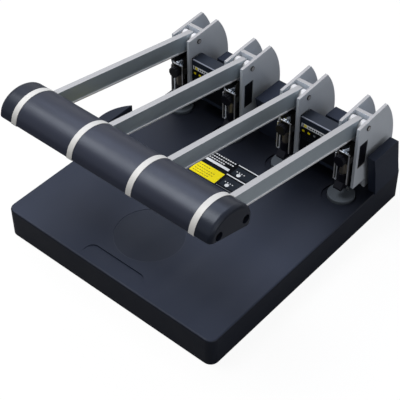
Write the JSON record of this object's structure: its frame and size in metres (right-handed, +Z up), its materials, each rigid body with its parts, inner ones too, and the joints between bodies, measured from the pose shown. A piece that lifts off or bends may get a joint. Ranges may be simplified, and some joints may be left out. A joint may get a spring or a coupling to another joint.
{
  "type": "heavy duty four hole punch",
  "caption": "Desk-top heavy duty paper punch: wide deck, four lever-driven hollow blades in steel heads, one wide handle across all the levers.",
  "frame": {"origin": "on the desk below the middle of the base", "axes": "+Z up, -Y towards the user and the handle, +X to the user's right, along the row of heads"},
  "size_m": [0.3143, 0.3324, 0.1953],
  "materials": {
    "deck_cover": "fine matte grain",
    "housing_black": "satin",
    "plate_steel": "plain",
    "foot_rubber": "matte",
    "panel": "satin",
    "chip_box": "satin",
    "guide_black": "satin",
    "bar_steel": "brushed",
    "disc_plastic": "matte",
    "frame_metal": "satin",
    "screw_black": "satin black",
    "pin_steel": "polished",
    "spacer_white": "smooth",
    "lever_metal": "satin grey",
    "cam_steel": "dark",
    "band_light": "satin",
    "grip_plastic": "fine grained satin",
    "cap_plastic": "fine grained satin",
    "carriage_steel": "satin",
    "blade_steel": "ground",
    "knob_black": "satin",
    "bolt_steel": "zinc plated",
    "spring_steel": "drawn wire"
  },
  "bodies": {
    "base": {"base_cover": "deck_cover", "bottom_plate": "plate_steel", "rubber_feet": "foot_rubber", "chassis_bar": "plate_steel", "deck_panel": "panel", "rear_housing": "housing_black", "head_frame_1": "frame_metal", "head_frame_2": "frame_metal", "head_frame_3": "frame_metal", "head_frame_4": "frame_metal", "frame_screws": "screw_black", "pivot_pins": "pin_steel", "pin_clips": "screw_black", "pivot_spacers": "spacer_white", "blade_guides": "knob_black", "paper_stops": "pin_steel", "return_spring_1": "spring_steel", "return_spring_2": "spring_steel", "return_spring_3": "spring_steel", "return_spring_4": "spring_steel"},
    "handle": {"lever_1": "lever_metal", "lever_2": "lever_metal", "lever_3": "lever_metal", "lever_4": "lever_metal", "pusher_cams": "cam_steel", "band_1": "band_light", "band_2": "band_light", "band_3": "band_light", "band_4": "band_light", "grip_left": "grip_plastic", "grip_middle": "grip_plastic", "grip_right": "grip_plastic", "end_cap_left": "cap_plastic", "end_cap_right": "cap_plastic", "tie_rods": "bar_steel", "cap_screws": "screw_black"},
    "side_guide": {"side_guide": "guide_black", "guide_bar": "bar_steel"},
    "chip_box_left": {"chip_box_left": "chip_box"},
    "chip_box_right": {"chip_box_right": "chip_box"},
    "punch_1": {"carriage_1": "carriage_steel", "hollow_blade_1": "blade_steel", "pusher_bolt_1": "bolt_steel"},
    "knob_1": {"release_knob_1": "knob_black"},
    "disc_1": {"cutting_disc_1": "disc_plastic"},
    "punch_2": {"carriage_2": "carriage_steel", "hollow_blade_2": "blade_steel", "pusher_bolt_2": "bolt_steel"},
    "knob_2": {"release_knob_2": "knob_black"},
    "disc_2": {"cutting_disc_2": "disc_plastic"},
    "punch_3": {"carriage_3": "carriage_steel", "hollow_blade_3": "blade_steel", "pusher_bolt_3": "bolt_steel"},
    "knob_3": {"release_knob_3": "knob_black"},
    "disc_3": {"cutting_disc_3": "disc_plastic"},
    "punch_4": {"carriage_4": "carriage_steel", "hollow_blade_4": "blade_steel", "pusher_bolt_4": "bolt_steel"},
    "knob_4": {"release_knob_4": "knob_black"},
    "disc_4": {"cutting_disc_4": "disc_plastic"}
  },
  "joints": [
    {"name": "handle_hinge", "type": "hinge", "parent": "base", "child": "handle", "pos_m": [0, 0.1123, 0.13], "axis": [1, 0, 0], "range_deg": [0, 27], "stiffness_Nm_per_rad": 16, "springref_deg": -20.05},
    {"name": "punch_slide_1", "type": "slide", "parent": "base", "child": "punch_1", "axis": [0, 0, -1], "range_m": [0, 0.00896], "deforming": ["return_spring_1"]},
    {"name": "knob_turn_1", "type": "hinge", "parent": "punch_1", "child": "knob_1", "pos_m": [-0.12, 0.0843, 0.09475], "axis": [0, -1, 0], "continuous": true},
    {"name": "disc_turn_1", "type": "hinge", "parent": "base", "child": "disc_1", "pos_m": [-0.12, 0.0933, 0.038], "axis": [0, 0, 1], "continuous": true},
    {"name": "punch_slide_2", "type": "slide", "parent": "base", "child": "punch_2", "axis": [0, 0, -1], "range_m": [0, 0.00896], "deforming": ["return_spring_2"]},
    {"name": "knob_turn_2", "type": "hinge", "parent": "punch_2", "child": "knob_2", "pos_m": [-0.04, 0.0843, 0.09475], "axis": [0, -1, 0], "continuous": true},
    {"name": "disc_turn_2", "type": "hinge", "parent": "base", "child": "disc_2", "pos_m": [-0.04, 0.0933, 0.038], "axis": [0, 0, 1], "continuous": true},
    {"name": "punch_slide_3", "type": "slide", "parent": "base", "child": "punch_3", "axis": [0, 0, -1], "range_m": [0, 0.00896], "deforming": ["return_spring_3"]},
    {"name": "knob_turn_3", "type": "hinge", "parent": "punch_3", "child": "knob_3", "pos_m": [0.04, 0.0843, 0.09475], "axis": [0, -1, 0], "continuous": true},
    {"name": "disc_turn_3", "type": "hinge", "parent": "base", "child": "disc_3", "pos_m": [0.04, 0.0933, 0.038], "axis": [0, 0, 1], "continuous": true},
    {"name": "punch_slide_4", "type": "slide", "parent": "base", "child": "punch_4", "axis": [0, 0, -1], "range_m": [0, 0.00896], "deforming": ["return_spring_4"]},
    {"name": "knob_turn_4", "type": "hinge", "parent": "punch_4", "child": "knob_4", "pos_m": [0.12, 0.0843, 0.09475], "axis": [0, -1, 0], "continuous": true},
    {"name": "disc_turn_4", "type": "hinge", "parent": "base", "child": "disc_4", "pos_m": [0.12, 0.0933, 0.038], "axis": [0, 0, 1], "continuous": true},
    {"name": "side_guide_slide", "type": "slide", "parent": "base", "child": "side_guide", "axis": [-1, 0, 0], "range_m": [0, 0.06]},
    {"name": "chip_box_left_lift", "type": "slide", "parent": "base", "child": "chip_box_left", "axis": [0, 0, 1], "range_m": [0, 0.08]},
    {"name": "chip_box_right_lift", "type": "slide", "parent": "base", "child": "chip_box_right", "axis": [0, 0, 1], "range_m": [0, 0.08]}
  ],
  "couplings": [
    {"joint": "punch_slide_1", "follows": "handle_hinge", "m_per_rad": 0.019},
    {"joint": "punch_slide_2", "follows": "handle_hinge", "m_per_rad": 0.019},
    {"joint": "punch_slide_3", "follows": "handle_hinge", "m_per_rad": 0.019},
    {"joint": "punch_slide_4", "follows": "handle_hinge", "m_per_rad": 0.019}
  ]
}
